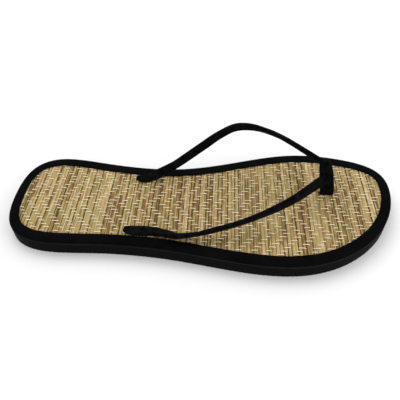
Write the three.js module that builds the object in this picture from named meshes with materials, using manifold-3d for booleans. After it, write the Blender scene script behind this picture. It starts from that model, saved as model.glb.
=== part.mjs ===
// A right-foot thong sandal with a woven straw footbed, empty and flat on the floor.
// Millimetres, +Z up. +X points to the toes and +Y to the big-toe side. The origin is under the middle
// of the sole, on the floor.

import * as THREE from 'three';
import { mergeVertices } from 'three/addons/utils/BufferGeometryUtils.js';
import Module from 'manifold-3d';

// Driving dimensions of the layers, from the floor up
const OUTSOLE_THICK = 9.7;
const GLUE_GAP = 0.3;
const MAT_THICK = 1.2;
const CLOTH_THICK = 0.5;

// Driving dimensions of the woven mat: straw strips laid across the foot
const REED_PITCH = 2.35;
const REED_RISE = 0.35;
const REED_SHOULDER = 0.3;

// Driving dimensions of the cloth binding: its width on top along the sides and round the two ends
const RIM_SIDE = 7.65;
const RIM_END = 6.7;
const RIM_WALL = 0.9;

// Driving dimensions of the thong: flat padded straps and a flat toe post
const STRAP_WIDTH = 6.8;
const STRAP_THICK = 2.7;
const POST_WIDTH = 9.4;
const POST_THICK = 3.0;
const SLIT_CLEARANCE = 0.3;
const TAIL_NARROWER = 2.6;
const TAIL_SETBACK = 5;

// How far a cutting block reaches past what it cuts
const CUT_MARGIN = 1;

// How finely the curves are cut
const STEPS_PER_ROW = 6;
const STRAP_STEPS_PER_ROW = 4;
const ARC_STEPS = 4;
const SPLINE_SWEEPS = 40;

// Heights that follow from the driving dimensions
const MAT_BOTTOM = OUTSOLE_THICK + GLUE_GAP;
const FOOTBED = MAT_BOTTOM + MAT_THICK;
const FLANGE_BOTTOM = FOOTBED + GLUE_GAP;
const RIM_TOP = FLANGE_BOTTOM + CLOTH_THICK;
const LYING = GLUE_GAP + STRAP_THICK / 2;

// Outline of the sole, heel to toe down the outer side and back up the big-toe side
const OUTLINE = [
  { place: 'heel end', x: -132.5, y: 3.1 },
  { place: 'outer heel corner', x: -126.9, y: -24.7 },
  { place: 'outer heel', x: -103.0, y: -37.3 },
  { place: 'outer heel front', x: -64.3, y: -37.9 },
  { place: 'outer waist', x: -17.8, y: -41.4 },
  { place: 'outer midfoot', x: 26.9, y: -49.1 },
  { place: 'outer ball', x: 65.8, y: -50.6 },
  { place: 'little toe', x: 98.5, y: -39.1 },
  { place: 'outer toe corner', x: 122.7, y: -15.3 },
  { place: 'toe end', x: 132.5, y: 13.6 },
  { place: 'big toe corner', x: 125.9, y: 37.0 },
  { place: 'big toe side', x: 97.9, y: 48.7 },
  { place: 'inner ball', x: 61.4, y: 50.6 },
  { place: 'inner midfoot', x: 19.9, y: 40.6 },
  { place: 'inner waist', x: -23.3, y: 32.9 },
  { place: 'inner heel front', x: -69.8, y: 37.2 },
  { place: 'inner heel', x: -106.1, y: 42.0 },
  { place: 'inner heel corner', x: -127.1, y: 30.4 },
];

// Centre lines of the straps from their slit to the toe post. rise is the height above the footbed, and
// cant is the turn in degrees that lifts the strap's outer edge: 0 lies flat and 90 stands on edge.
const OUTER_STRAP = [
  { x: -49.2, y: -26.4, rise: LYING, cant: 0, width: STRAP_WIDTH - 2.6 },
  { x: -46.0, y: -27.1, rise: LYING, cant: 0, width: STRAP_WIDTH - 0.9 },
  { x: -41.0, y: -27.8, rise: LYING, cant: 0, width: STRAP_WIDTH + 0.5 },
  { x: -36.7, y: -27.7, rise: LYING + 0.1, cant: 2, width: STRAP_WIDTH + 0.8 },
  { x: -30.3, y: -28.2, rise: LYING + 0.3, cant: 9, width: STRAP_WIDTH + 0.4 },
  { x: -21.9, y: -30.1, rise: 2.8, cant: 22, width: STRAP_WIDTH + 0.1 },
  { x: -14.3, y: -32.7, rise: 3.6, cant: 37, width: STRAP_WIDTH },
  { x: -6.9, y: -32.8, rise: 4.6, cant: 46, width: STRAP_WIDTH },
  { x: 0.4, y: -32.0, rise: 5.6, cant: 53, width: STRAP_WIDTH },
  { x: 11.2, y: -29.9, rise: 7.6, cant: 58, width: STRAP_WIDTH },
  { x: 25.7, y: -26.6, rise: 10.6, cant: 59, width: STRAP_WIDTH },
  { x: 38.4, y: -22.0, rise: 12.9, cant: 65, width: STRAP_WIDTH },
  { x: 49.6, y: -16.6, rise: 14.5, cant: 79, width: STRAP_WIDTH },
  { x: 61.3, y: -8.9, rise: 15.2, cant: 95, width: STRAP_WIDTH },
  { x: 71.3, y: 0.3, rise: 14.4, cant: 115, width: STRAP_WIDTH },
  { x: 79.2, y: 8.6, rise: 12.6, cant: 130, width: STRAP_WIDTH + 0.2 },
  { x: 83.5, y: 12.9, rise: 11.6, cant: 132, width: STRAP_WIDTH + 0.4 },
];
const INNER_STRAP = [
  { x: -47.8, y: 21.2, rise: LYING, cant: 0, width: STRAP_WIDTH - 3.9 },
  { x: -46.2, y: 21.3, rise: LYING, cant: 0, width: STRAP_WIDTH - 2.7 },
  { x: -43.0, y: 21.2, rise: LYING, cant: 0, width: STRAP_WIDTH - 1.1 },
  { x: -39.0, y: 21.5, rise: LYING + 0.1, cant: 4, width: STRAP_WIDTH - 0.6 },
  { x: -33.4, y: 23.6, rise: 3.4, cant: 40, width: STRAP_WIDTH - 0.4 },
  { x: -27.6, y: 24.3, rise: 7.0, cant: 80, width: STRAP_WIDTH - 0.4 },
  { x: -19.1, y: 25.2, rise: 12.2, cant: 95, width: STRAP_WIDTH - 0.4 },
  { x: -8.7, y: 28.6, rise: 18.6, cant: 93, width: STRAP_WIDTH - 0.4 },
  { x: 1.6, y: 32.2, rise: 25.2, cant: 94, width: STRAP_WIDTH - 0.4 },
  { x: 11.7, y: 36.9, rise: 30.4, cant: 96, width: STRAP_WIDTH - 0.4 },
  { x: 21.9, y: 40.7, rise: 34.0, cant: 99, width: STRAP_WIDTH - 0.4 },
  { x: 32.8, y: 41.0, rise: 34.8, cant: 111, width: STRAP_WIDTH - 0.4 },
  { x: 43.6, y: 38.8, rise: 33.6, cant: 130, width: STRAP_WIDTH - 0.4 },
  { x: 54.2, y: 34.3, rise: 31.8, cant: 136, width: STRAP_WIDTH - 0.4 },
  { x: 65.7, y: 27.1, rise: 29.2, cant: 136, width: STRAP_WIDTH - 0.4 },
  { x: 74.4, y: 21.5, rise: 26.8, cant: 133, width: STRAP_WIDTH - 0.4 },
  { x: 82.6, y: 16.3, rise: 24.4, cant: 128, width: STRAP_WIDTH - 0.4 },
];
const TOE_POST = [
  { x: 88.0, y: 12.2, rise: -MAT_THICK, cant: 0, width: POST_WIDTH },
  { x: 88.0, y: 12.2, rise: 1.5, cant: 0, width: POST_WIDTH },
  { x: 86.4, y: 13.3, rise: 11.0, cant: 0, width: POST_WIDTH - 0.3 },
  { x: 84.3, y: 15.3, rise: 20.5, cant: 0, width: POST_WIDTH - 0.8 },
  { x: 83.3, y: 16.2, rise: 24.6, cant: 0, width: POST_WIDTH - 1.6 },
  { x: 82.9, y: 16.7, rise: 26.6, cant: 0, width: POST_WIDTH - 4.6 },
];

const wasm = await Module();
wasm.setup();

// A smooth closed curve through the rows: tangents of the periodic cubic spline, then Hermite steps
function closedSpline(rows) {
  const count = rows.length;
  const points = rows.map((row) => new THREE.Vector2(row.x, row.y));
  const tangents = points.map(() => new THREE.Vector2());
  for (let sweep = 0; sweep < SPLINE_SWEEPS; sweep += 1) {
    points.forEach((_, i) => {
      const before = (i + count - 1) % count;
      const after = (i + 1) % count;
      tangents[i]
        .subVectors(points[after], points[before])
        .multiplyScalar(3)
        .sub(tangents[before])
        .sub(tangents[after])
        .divideScalar(4);
    });
  }
  const path = new THREE.Path();
  path.moveTo(points[0].x, points[0].y);
  points.forEach((point, i) => {
    const after = (i + 1) % count;
    const leave = tangents[i].clone().divideScalar(3).add(point);
    const arrive = points[after].clone().sub(tangents[after].clone().divideScalar(3));
    path.bezierCurveTo(leave.x, leave.y, arrive.x, arrive.y, points[after].x, points[after].y);
  });
  return path;
}

// The outline's points, each with its outward direction
function outlineRing() {
  const path = closedSpline(OUTLINE);
  const count = OUTLINE.length * STEPS_PER_ROW;
  return Array.from({ length: count }, (_, i) => {
    const along = i / count;
    const tangent = path.getTangent(along);
    return { point: path.getPoint(along), outward: new THREE.Vector2(tangent.y, -tangent.x) };
  });
}

const RING = outlineRing();

// Binding width at a place of the outline: narrower where the edge faces heel or toe
function rimWidth(outward) {
  return RIM_SIDE + (RIM_END - RIM_SIDE) * outward.x ** 2;
}

function insetPoint({ point, outward }, inset) {
  return point.clone().addScaledVector(outward, -inset);
}

// A flat slab between two heights with the outline drawn in by a fixed distance
function slab(inset, bottom, top) {
  const shape = new THREE.Shape(RING.map((place) => insetPoint(place, inset)));
  const geometry = new THREE.ExtrudeGeometry(shape, { depth: top - bottom, bevelEnabled: false });
  return geometry.translate(0, 0, bottom);
}

// A closed mesh from rings of points: each ring has the same number of points. A loop of rings closes on
// itself, and an open row of rings is capped at both ends.
function skinRings(rings, closedLoop) {
  const size = rings[0].length;
  const positions = rings.flat().flatMap((point) => [point.x, point.y, point.z]);
  const index = [];
  const spans = closedLoop ? rings.length : rings.length - 1;
  for (let i = 0; i < spans; i += 1) {
    const here = i * size;
    const next = ((i + 1) % rings.length) * size;
    for (let k = 0; k < size; k += 1) {
      const turn = (k + 1) % size;
      index.push(here + k, next + turn, next + k, here + k, here + turn, next + turn);
    }
  }
  if (!closedLoop) {
    const last = (rings.length - 1) * size;
    for (let k = 1; k < size - 1; k += 1) {
      index.push(0, k + 1, k, last, last + k, last + k + 1);
    }
  }
  const geometry = new THREE.BufferGeometry();
  geometry.setAttribute('position', new THREE.Float32BufferAttribute(positions, 3));
  geometry.setIndex(index);
  return geometry;
}

function toSolid(geometry) {
  const plain = geometry.clone();
  plain.deleteAttribute('normal');
  plain.deleteAttribute('uv');
  const merged = mergeVertices(plain);
  const vertProperties = new Float32Array(merged.attributes.position.array);
  const triVerts = new Uint32Array(merged.index.array);
  return new wasm.Manifold(new wasm.Mesh({ numProp: 3, vertProperties, triVerts }));
}

function toGeometry(solid) {
  const { vertProperties, triVerts } = solid.getMesh();
  const geometry = new THREE.BufferGeometry();
  geometry.setAttribute('position', new THREE.Float32BufferAttribute(vertProperties, 3));
  geometry.setIndex(Array.from(triVerts));
  geometry.computeVertexNormals();
  return geometry;
}

// Section of a strap: flat faces with half-round edges, broad along u and thick along v
function strapSection(width, thick) {
  const flat = (width - thick) / 2;
  const half = thick / 2;
  return [1, -1].flatMap((side) =>
    Array.from({ length: ARC_STEPS + 1 }, (_, i) => {
      const angle = Math.PI * (i / ARC_STEPS - 0.5);
      return { u: side * (flat + half * Math.cos(angle)), v: side * half * Math.sin(angle) };
    }),
  );
}

// A flat band along its rows. outer is the side that its cant lifts.
function bandSolid(rows, outer, thick) {
  const centre = new THREE.CatmullRomCurve3(
    rows.map((row) => new THREE.Vector3(row.x, row.y, FOOTBED + row.rise)),
  );
  const lay = new THREE.CatmullRomCurve3(rows.map((row) => new THREE.Vector3(row.cant, row.width, 0)));
  const count = (rows.length - 1) * STRAP_STEPS_PER_ROW;
  const rings = Array.from({ length: count + 1 }, (_, i) => {
    const along = i / count;
    const middle = centre.getPoint(along);
    const tangent = centre.getTangent(along);
    const { x: cant, y: width } = lay.getPoint(along);
    const level = outer.clone().addScaledVector(tangent, -outer.dot(tangent)).normalize();
    const lift = THREE.MathUtils.degToRad(cant) * (outer.y < 0 ? -1 : 1);
    const broad = level.applyAxisAngle(tangent, lift);
    const thin = new THREE.Vector3().crossVectors(tangent, broad);
    return strapSection(width, thick).map(({ u, v }) =>
      middle.clone().addScaledVector(broad, u).addScaledVector(thin, v),
    );
  });
  return toSolid(skinRings(rings, false));
}

// An upright block through the mat, for a strap's tail or for the slit that the tail goes through
function tailBlock({ x, y }, length, width, bottom, top) {
  const block = new THREE.BoxGeometry(length, width, top - bottom);
  return toSolid(block.translate(x, y, (top + bottom) / 2));
}

function mesh(name, geometry, color, roughness) {
  const material = new THREE.MeshStandardMaterial({ color, roughness, metalness: 0 });
  const node = new THREE.Mesh(geometry, material);
  node.name = name;
  return node;
}

// Where each tail goes down: a little way in from the strap's end
const OUTER_TAIL = { x: OUTER_STRAP[0].x + TAIL_SETBACK, y: OUTER_STRAP[1].y };
const INNER_TAIL = { x: INNER_STRAP[0].x + TAIL_SETBACK, y: INNER_STRAP[1].y };
const POST_TAIL = { x: TOE_POST[0].x, y: TOE_POST[0].y };
const TAIL_WIDTH = STRAP_WIDTH - TAIL_NARROWER;

// Flat foam sole, cut straight down
function makeOutsole() {
  return mesh('outsole', slab(0, 0, OUTSOLE_THICK), 0x161616, 0.9);
}

// Woven mat: straw strips side by side across the foot, cut to the outline inside the binding's wall
function makeMat() {
  const reach = OUTLINE.reduce((far, row) => Math.max(far, Math.abs(row.x), Math.abs(row.y)), 0) + REED_PITCH;
  const count = Math.ceil((2 * reach) / REED_PITCH);
  const profile = new THREE.Shape();
  profile.moveTo(-reach, MAT_BOTTOM);
  profile.lineTo(-reach + count * REED_PITCH, MAT_BOTTOM);
  for (let reed = count; reed > 0; reed -= 1) {
    const right = -reach + reed * REED_PITCH;
    profile.lineTo(right, FOOTBED - REED_RISE);
    profile.lineTo(right - REED_SHOULDER, FOOTBED);
    profile.lineTo(right - REED_PITCH + REED_SHOULDER, FOOTBED);
  }
  profile.lineTo(-reach, FOOTBED - REED_RISE);
  const strips = new THREE.ExtrudeGeometry(profile, { depth: 2 * reach, bevelEnabled: false });
  strips.rotateX(Math.PI / 2).translate(0, reach, 0);
  const below = MAT_BOTTOM - CUT_MARGIN;
  const above = FOOTBED + CUT_MARGIN;
  const slit = (place, length, width) =>
    tailBlock(place, length + 2 * SLIT_CLEARANCE, width + 2 * SLIT_CLEARANCE, below, above);
  const woven = toSolid(strips)
    .intersect(toSolid(slab(RIM_WALL + GLUE_GAP, below, above)))
    .subtract(slit(OUTER_TAIL, STRAP_THICK, TAIL_WIDTH))
    .subtract(slit(INNER_TAIL, STRAP_THICK, TAIL_WIDTH))
    .subtract(slit(POST_TAIL, POST_WIDTH, POST_THICK));
  return mesh('straw_insole', toGeometry(woven), 0xa59167, 0.7);
}

// Cloth tape folded over the mat's edge: a wall outside it and a flange on top, with soft corners
function makeBinding() {
  const rings = RING.map((place) => {
    const rim = rimWidth(place.outward);
    const section = [
      { inset: RIM_WALL, height: MAT_BOTTOM },
      { inset: RIM_WALL, height: FLANGE_BOTTOM },
      { inset: rim, height: FLANGE_BOTTOM },
      { inset: rim - CLOTH_THICK / 2, height: RIM_TOP - CLOTH_THICK / 4 },
      { inset: rim - CLOTH_THICK * 2, height: RIM_TOP },
      { inset: CLOTH_THICK * 2, height: RIM_TOP },
      { inset: CLOTH_THICK / 3, height: RIM_TOP - CLOTH_THICK / 2 },
      { inset: 0, height: FLANGE_BOTTOM - CLOTH_THICK },
      { inset: 0, height: MAT_BOTTOM },
    ];
    return section.map(({ inset, height }) => {
      const spot = insetPoint(place, inset);
      return new THREE.Vector3(spot.x, spot.y, height);
    });
  });
  return mesh('rim_binding', skinRings(rings, true), 0x0a0a0a, 0.85);
}

// The straps and the toe post, joined where they meet, with tails down through the mat
function makeThong() {
  const strapTail = (place) => tailBlock(place, STRAP_THICK, TAIL_WIDTH, MAT_BOTTOM, FOOTBED + LYING);
  const thong = bandSolid(OUTER_STRAP, new THREE.Vector3(0, -1, 0), STRAP_THICK)
    .add(bandSolid(INNER_STRAP, new THREE.Vector3(0, 1, 0), STRAP_THICK))
    .add(bandSolid(TOE_POST, new THREE.Vector3(1, 0, 0), POST_THICK))
    .add(strapTail(OUTER_TAIL))
    .add(strapTail(INNER_TAIL));
  return mesh('thong_upper', toGeometry(thong), 0x0a0a0c, 0.95);
}

const sandal = new THREE.Group();
sandal.add(makeOutsole(), makeMat(), makeBinding(), makeThong());

export default sandal;
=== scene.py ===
"""Dresses a right-foot thong sandal: woven straw footbed, black cloth rim, ribbed foam sole, napped straps.

Sizes in the classes are millimetres in the frame's own axes: +X to the toes, +Y to the big toe, +Z up.
"""

import logging
import math
from dataclasses import dataclass, field
from enum import Enum
from typing import Any, NamedTuple, Sequence

import bmesh
import bpy
import numpy as np
from mathutils import Color, Matrix, Vector, noise


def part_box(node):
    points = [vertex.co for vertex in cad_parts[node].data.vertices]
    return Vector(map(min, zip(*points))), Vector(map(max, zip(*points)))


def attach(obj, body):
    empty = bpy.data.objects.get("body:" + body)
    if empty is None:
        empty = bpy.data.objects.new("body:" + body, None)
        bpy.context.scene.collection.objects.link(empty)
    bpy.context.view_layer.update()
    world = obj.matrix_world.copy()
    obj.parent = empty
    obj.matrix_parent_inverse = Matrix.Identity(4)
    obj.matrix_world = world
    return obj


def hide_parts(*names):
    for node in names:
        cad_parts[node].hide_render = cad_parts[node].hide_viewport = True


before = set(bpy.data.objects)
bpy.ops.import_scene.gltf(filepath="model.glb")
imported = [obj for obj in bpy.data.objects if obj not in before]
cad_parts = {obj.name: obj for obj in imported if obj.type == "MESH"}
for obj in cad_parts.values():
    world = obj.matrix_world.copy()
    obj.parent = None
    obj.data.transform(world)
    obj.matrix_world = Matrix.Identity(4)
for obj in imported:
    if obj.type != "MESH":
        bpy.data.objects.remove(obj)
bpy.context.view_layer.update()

LOG = logging.getLogger("thong_sandal")
MM = 0.001
FULL_TURN = 2 * math.pi
DISPLAY_WHITE = 255
NOISE_MIDDLE = 0.5
BODY = "root"
Colour = tuple[float, float, float, float]
Place = tuple[float, float, float]


class Slot(str, Enum):
    """Material slots of the record; each piece names one, which is not used."""

    FOAM = "foam"
    STRAW = "straw"
    BINDING = "binding_cloth"
    STRAP = "strap_cloth"


def srgb(red: int, green: int, blue: int) -> Colour:
    """Turn a colour in display values from 0 to 255 into the linear values that shaders take."""
    shown = Color((red / DISPLAY_WHITE, green / DISPLAY_WHITE, blue / DISPLAY_WHITE))
    return (*shown.from_srgb_to_scene_linear(), 1.0)


# Node trees

class Signal:
    """What flows out of a socket; where it is a number, it takes part in Python expressions."""

    def __init__(self, graph: "Graph", socket: bpy.types.NodeSocket) -> None:
        """Keep the tree and the socket that the signal comes out of."""
        self.graph = graph
        self.socket = socket

    def __add__(self, other: Any) -> "Signal":
        """Sum of two numbers."""
        return self.graph.math("ADD", self, other)

    def __sub__(self, other: Any) -> "Signal":
        """This number less another."""
        return self.graph.math("SUBTRACT", self, other)

    def __rsub__(self, other: Any) -> "Signal":
        """Another number less this one."""
        return self.graph.math("SUBTRACT", other, self)

    def __mul__(self, other: Any) -> "Signal":
        """Product of two numbers."""
        return self.graph.math("MULTIPLY", self, other)

    __radd__ = __add__
    __rmul__ = __mul__

    def sine(self) -> "Signal":
        """Sine of this number in radians."""
        return self.graph.math("SINE", self)

    def clamp(self) -> "Signal":
        """This number held between 0 and 1."""
        return self.graph.math("ADD", self, 0.0, use_clamp=True)

    def above(self, level: float, slope: float) -> "Signal":
        """Climb from 0 to 1 as this number rises past a level."""
        return ((self - level) * slope).clamp()

    def below(self, level: float, slope: float) -> "Signal":
        """Climb from 0 to 1 as this number falls past a level."""
        return ((level - self) * slope).clamp()


class Graph:
    """A node tree under construction."""

    def __init__(self, tree: bpy.types.NodeTree) -> None:
        """Keep the tree that nodes are added to."""
        self.tree = tree

    def node(self, kind: str, settings: dict[str, Any] | None = None,
             sockets: dict[str | int, Any] | None = None) -> bpy.types.Node:
        """Add a node.

        Args:
            kind: Blender's name of the node's type.
            settings: the node's own properties, and "stops" for a colour ramp; they are set first.
            sockets: values or links of its inputs, by name or by number.

        Returns:
            The new node.
        """
        made = self.tree.nodes.new(kind)
        for name, value in (settings or {}).items():
            if name == "stops":
                self.set_stops(made.color_ramp, value)
            else:
                setattr(made, name, value)
        for key, value in (sockets or {}).items():
            self.feed(made.inputs[key], value)
        return made

    def set_stops(self, ramp: bpy.types.ColorRamp, stops: Sequence[tuple[float, Colour]]) -> None:
        """Give a colour ramp its stops.

        Args:
            ramp: the ramp.
            stops: place and colour of each stop.
        """
        while len(ramp.elements) < len(stops):
            ramp.elements.new(1.0)
        for element, (place, colour) in zip(ramp.elements, stops):
            element.position = place
            element.color = colour

    def feed(self, socket: bpy.types.NodeSocket, value: Any) -> None:
        """Link an input, or set its own value.

        Args:
            socket: the input.
            value: a signal, a node whose first output is linked, or a plain value.
        """
        if isinstance(value, bpy.types.Node):
            value = self.out(value)
        if isinstance(value, Signal):
            self.tree.links.new(value.socket, socket)
        else:
            socket.default_value = value

    def out(self, node: bpy.types.Node, key: str | int = 0) -> Signal:
        """One of a node's outputs as a signal."""
        return Signal(self, node.outputs[key])

    def math(self, operation: str, *values: Any, use_clamp: bool = False) -> Signal:
        """Add a Math node and give its result."""
        settings = {"operation": operation, "use_clamp": use_clamp}
        return self.out(self.node("ShaderNodeMath", settings, dict(enumerate(values))))

    def vector(self, **parts: Any) -> Signal:
        """A vector from its X, Y and Z."""
        return self.out(self.node("ShaderNodeCombineXYZ", None, parts))


class Grain(NamedTuple):
    """A noise: how many of its cells lie in a metre along each axis, and its levels of finer noise."""

    per_metre: Place
    detail: float = 2.0

    @classmethod
    def even(cls, per_metre: float, detail: float = 2.0) -> "Grain":
        """A noise that is alike along all axes."""
        return cls((per_metre, per_metre, per_metre), detail)


class ShaderGraph(Graph):
    """A material's node tree with its shader."""

    # Numbers of the Mix node's sockets for colours
    MIX_SHARE = 0
    MIX_START = 6
    MIX_END = 7
    MIX_RESULT = 2

    def __init__(self, name: str, specular: float) -> None:
        """Make an empty material.

        Args:
            name: the material's name.
            specular: the shader's specular level.
        """
        self.material = bpy.data.materials.new(name)
        self.material.use_nodes = True
        super().__init__(self.material.node_tree)
        self.tree.nodes.clear()
        self.shader = self.node("ShaderNodeBsdfPrincipled", None, {"Specular IOR Level": specular})
        self.node("ShaderNodeOutputMaterial", None, {"Surface": self.shader})

    def mix(self, share: Any, start: Any, end: Any) -> Signal:
        """A colour between two others, by a share from 0 to 1."""
        sockets = {self.MIX_SHARE: share, self.MIX_START: start, self.MIX_END: end}
        return self.out(self.node("ShaderNodeMix", {"data_type": "RGBA"}, sockets), self.MIX_RESULT)

    def attribute(self, name: str) -> Signal:
        """A number that a mesh carries at its points."""
        return self.out(self.node("ShaderNodeAttribute", {"attribute_name": name}), "Fac")

    def upright(self, vector: Signal) -> Signal:
        """The part of a vector that points up."""
        return self.out(self.node("ShaderNodeSeparateXYZ", None, {0: vector}), "Z")

    def height(self) -> Signal:
        """Height above the floor in millimetres."""
        return self.upright(self.out(self.node("ShaderNodeTexCoord"), "Object")) * (1 / MM)

    def downward(self) -> Signal:
        """How squarely the surface faces the floor, from -1 to 1."""
        return self.upright(self.out(self.node("ShaderNodeNewGeometry"), "Normal")) * -1.0

    def noise(self, grain: Grain) -> Signal:
        """Noise on Object coordinates.

        Args:
            grain: its cells and levels.

        Returns:
            A number around the noise's middle.
        """
        place = self.out(self.node("ShaderNodeTexCoord"), "Object")
        scaled = self.node("ShaderNodeMapping", None, {"Vector": place, "Scale": grain.per_metre})
        sockets = {"Vector": scaled, "Scale": 1.0, "Detail": grain.detail}
        return self.out(self.node("ShaderNodeTexNoise", None, sockets))

    def cover(self, colour: Any, roughness: Any, relief: Signal, depth: float) -> None:
        """Give the shader its surface.

        Args:
            colour: base colour.
            roughness: roughness, from 0 to 1.
            relief: height of the bumps, about 1 at the highest.
            depth: how many millimetres a height of 1 is.
        """
        bump = self.node("ShaderNodeBump", None, {"Height": relief, "Distance": depth * MM, "Strength": 1.0})
        self.feed(self.shader.inputs["Base Color"], colour)
        self.feed(self.shader.inputs["Roughness"], roughness)
        self.feed(self.shader.inputs["Normal"], bump)

    def sheen(self, weight: float, roughness: float) -> None:
        """Give the shader the soft sheen of cloth."""
        self.feed(self.shader.inputs["Sheen Weight"], weight)
        self.feed(self.shader.inputs["Sheen Roughness"], roughness)


class SizedTree(Graph):
    """A Geometry Nodes tree with named sizes, which makes over the mesh of a piece."""

    def __init__(self, name: str, sizes: dict[str, int | float]) -> None:
        """Open the tree.

        Args:
            name: the tree's name.
            sizes: name and value of each input, beside the piece's own mesh.
        """
        super().__init__(bpy.data.node_groups.new(name, "GeometryNodeTree"))
        face = self.tree.interface
        face.new_socket("Piece", in_out="INPUT", socket_type="NodeSocketGeometry")
        self.values: dict[str, int | float] = {}
        for label, value in sizes.items():
            kind = "NodeSocketInt" if isinstance(value, int) else "NodeSocketFloat"
            self.values[face.new_socket(label, in_out="INPUT", socket_type=kind).identifier] = value
        face.new_socket("Piece", in_out="OUTPUT", socket_type="NodeSocketGeometry")
        self.given = self.node("NodeGroupInput")

    def size(self, name: str) -> Signal:
        """One of the tree's named sizes."""
        return self.out(self.given, name)

    def carried(self, name: str) -> Signal:
        """A number that the points carry."""
        return self.out(self.node("GeometryNodeInputNamedAttribute", {"data_type": "FLOAT"}, {"Name": name}))

    def mark(self, made: bpy.types.Node, name: str, value: Signal) -> bpy.types.Node:
        """Store a number on what a node makes, under a name."""
        return self.node("GeometryNodeStoreNamedAttribute", {"data_type": "FLOAT", "domain": "POINT"},
                         {"Geometry": made, "Name": name, "Value": value})

    def close(self, made: bpy.types.Node, material: bpy.types.Material) -> None:
        """End the tree: what a node makes becomes plain mesh and is dressed.

        Args:
            made: the last node.
            material: the finish.
        """
        whole = self.node("GeometryNodeRealizeInstances", None, {0: made})
        dressed = self.node("GeometryNodeSetMaterial", None, {0: whole, "Material": material})
        self.node("NodeGroupOutput", None, {0: dressed})

    def lay_on(self, piece: bpy.types.Object) -> None:
        """Run the tree on a piece, which keeps the plain mesh that comes out.

        Args:
            piece: the piece.
        """
        modifier = piece.modifiers.new(self.tree.name, "NODES")
        modifier.node_group = self.tree
        for identifier, value in self.values.items():
            modifier[identifier] = value
        freeze(piece)


# Finishes

@dataclass(frozen=True)
class Finish:
    """What every finish has: a name, a specular level, and paint of its own."""

    name: str
    specular: float

    def make(self) -> bpy.types.Material:
        """Build the material.

        Returns:
            The painted material.
        """
        graph = ShaderGraph(self.name, self.specular)
        self.paint(graph)
        return graph.material

    def paint(self, graph: ShaderGraph) -> None:
        """Paint the material; each finish does it in its own way."""
        raise NotImplementedError


@dataclass(frozen=True)
class StrawFinish(Finish):
    """Split straw: each strip has its own tone, with fibres and stains along it, and painted shade at its
    sides and beside the threads.
    """

    name: str = "straw_strips"
    specular: float = 0.35
    tones: tuple[tuple[float, Colour], ...] = (
        (0.0, srgb(114, 84, 37)),
        (0.14, srgb(147, 115, 58)),
        (0.30, srgb(171, 141, 84)),
        (0.48, srgb(184, 159, 101)),
        (0.62, srgb(169, 151, 90)),
        (0.78, srgb(198, 174, 116)),
        (0.90, srgb(177, 147, 89)),
        (1.0, srgb(213, 192, 141)),
    )
    drift: Grain = Grain((420.0, 40.0, 1.0))
    drift_share: float = 0.7
    fibre: Grain = Grain((1350.0, 36.0, 1.0), 3.0)
    fibre_share: float = 1.1
    blush: Grain = Grain((300.0, 30.0, 1.0), 1.0)
    rosy: Colour = srgb(186, 143, 97)
    rosy_from: float = 0.54
    green: Colour = srgb(164, 157, 94)
    green_below: float = 0.46
    tint_slope: float = 6.0
    tint_share: float = 0.5
    dark_streak: Colour = srgb(100, 76, 27)
    dark_below: float = 0.43
    dark_share: float = 0.8
    pale_streak: Colour = srgb(215, 194, 147)
    pale_from: float = 0.57
    pale_share: float = 0.65
    streak_slope: float = 8.0
    # painted shade: colour of the strips' shaded sides and of the painted shadow round the threads
    painted_shade: Colour = srgb(95, 68, 23)
    painted_shade_share: float = 0.8
    hair: Grain = Grain((3600.0, 90.0, 600.0))
    hair_relief: float = 0.6
    relief: float = 0.16
    smoothest: float = 0.48
    hair_roughness: float = 0.3

    def paint(self, graph: ShaderGraph) -> None:
        """Paint the straw.

        Args:
            graph: the material's tree.
        """
        drift = graph.noise(self.drift)
        fibre = graph.noise(self.fibre)
        blush = graph.noise(self.blush)
        hair = graph.noise(self.hair)
        edge = graph.attribute("edge")
        shift = (drift - NOISE_MIDDLE) * self.drift_share + (fibre - NOISE_MIDDLE) * self.fibre_share
        tone = graph.attribute("tone") + shift
        body = graph.node("ShaderNodeValToRGB", {"stops": self.tones}, {"Fac": tone.clamp()})
        rosy = blush.above(self.rosy_from, self.tint_slope) * self.tint_share
        green = blush.below(self.green_below, self.tint_slope) * self.tint_share
        tinted = graph.mix(green, graph.mix(rosy, body, self.rosy), self.green)
        dark = fibre.below(self.dark_below, self.streak_slope) * self.dark_share
        pale = fibre.above(self.pale_from, self.streak_slope) * self.pale_share
        streaked = graph.mix(pale, graph.mix(dark, tinted, self.dark_streak), self.pale_streak)
        # painted shade and shadow, carried by the strips' points as their edge number, darken the straw
        colour = graph.mix(edge * edge * self.painted_shade_share, streaked, self.painted_shade)
        roughness = hair * self.hair_roughness + self.smoothest
        graph.cover(colour, roughness, hair * self.hair_relief + fibre, self.relief)


@dataclass(frozen=True)
class CottonFinish(Finish):
    """Cream cotton thread of two plies, twisted, with painted shade in the grooves between the plies."""

    name: str = "cream_cotton"
    specular: float = 0.15
    thread: Colour = srgb(255, 246, 219)
    # darker cream: painted shade between the plies, and random wear
    shade: Colour = srgb(238, 210, 169)
    turns: float = 3.0
    ply_shade: float = 0.25
    wear: Grain = Grain((420.0, 420.0, 1.0))
    wear_shade: float = 0.2
    wear_roughness: float = 0.2
    smoothest: float = 0.7
    fluff: Grain = Grain.even(5200.0)
    fluff_relief: float = 0.4
    relief: float = 0.12

    def paint(self, graph: ShaderGraph) -> None:
        """Paint the thread.

        Args:
            graph: the material's tree.
        """
        turn = (graph.attribute("around") + graph.attribute("along") * self.turns) * FULL_TURN
        ply = turn.sine() * 0.5 + 0.5
        wear = graph.noise(self.wear)
        # painted shade in the twist's grooves, and random wear, draw the thread towards the darker cream
        colour = graph.mix((1 - ply) * self.ply_shade + wear * self.wear_shade, self.thread, self.shade)
        roughness = wear * self.wear_roughness + self.smoothest
        graph.cover(colour, roughness, ply + graph.noise(self.fluff) * self.fluff_relief, self.relief)


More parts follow.
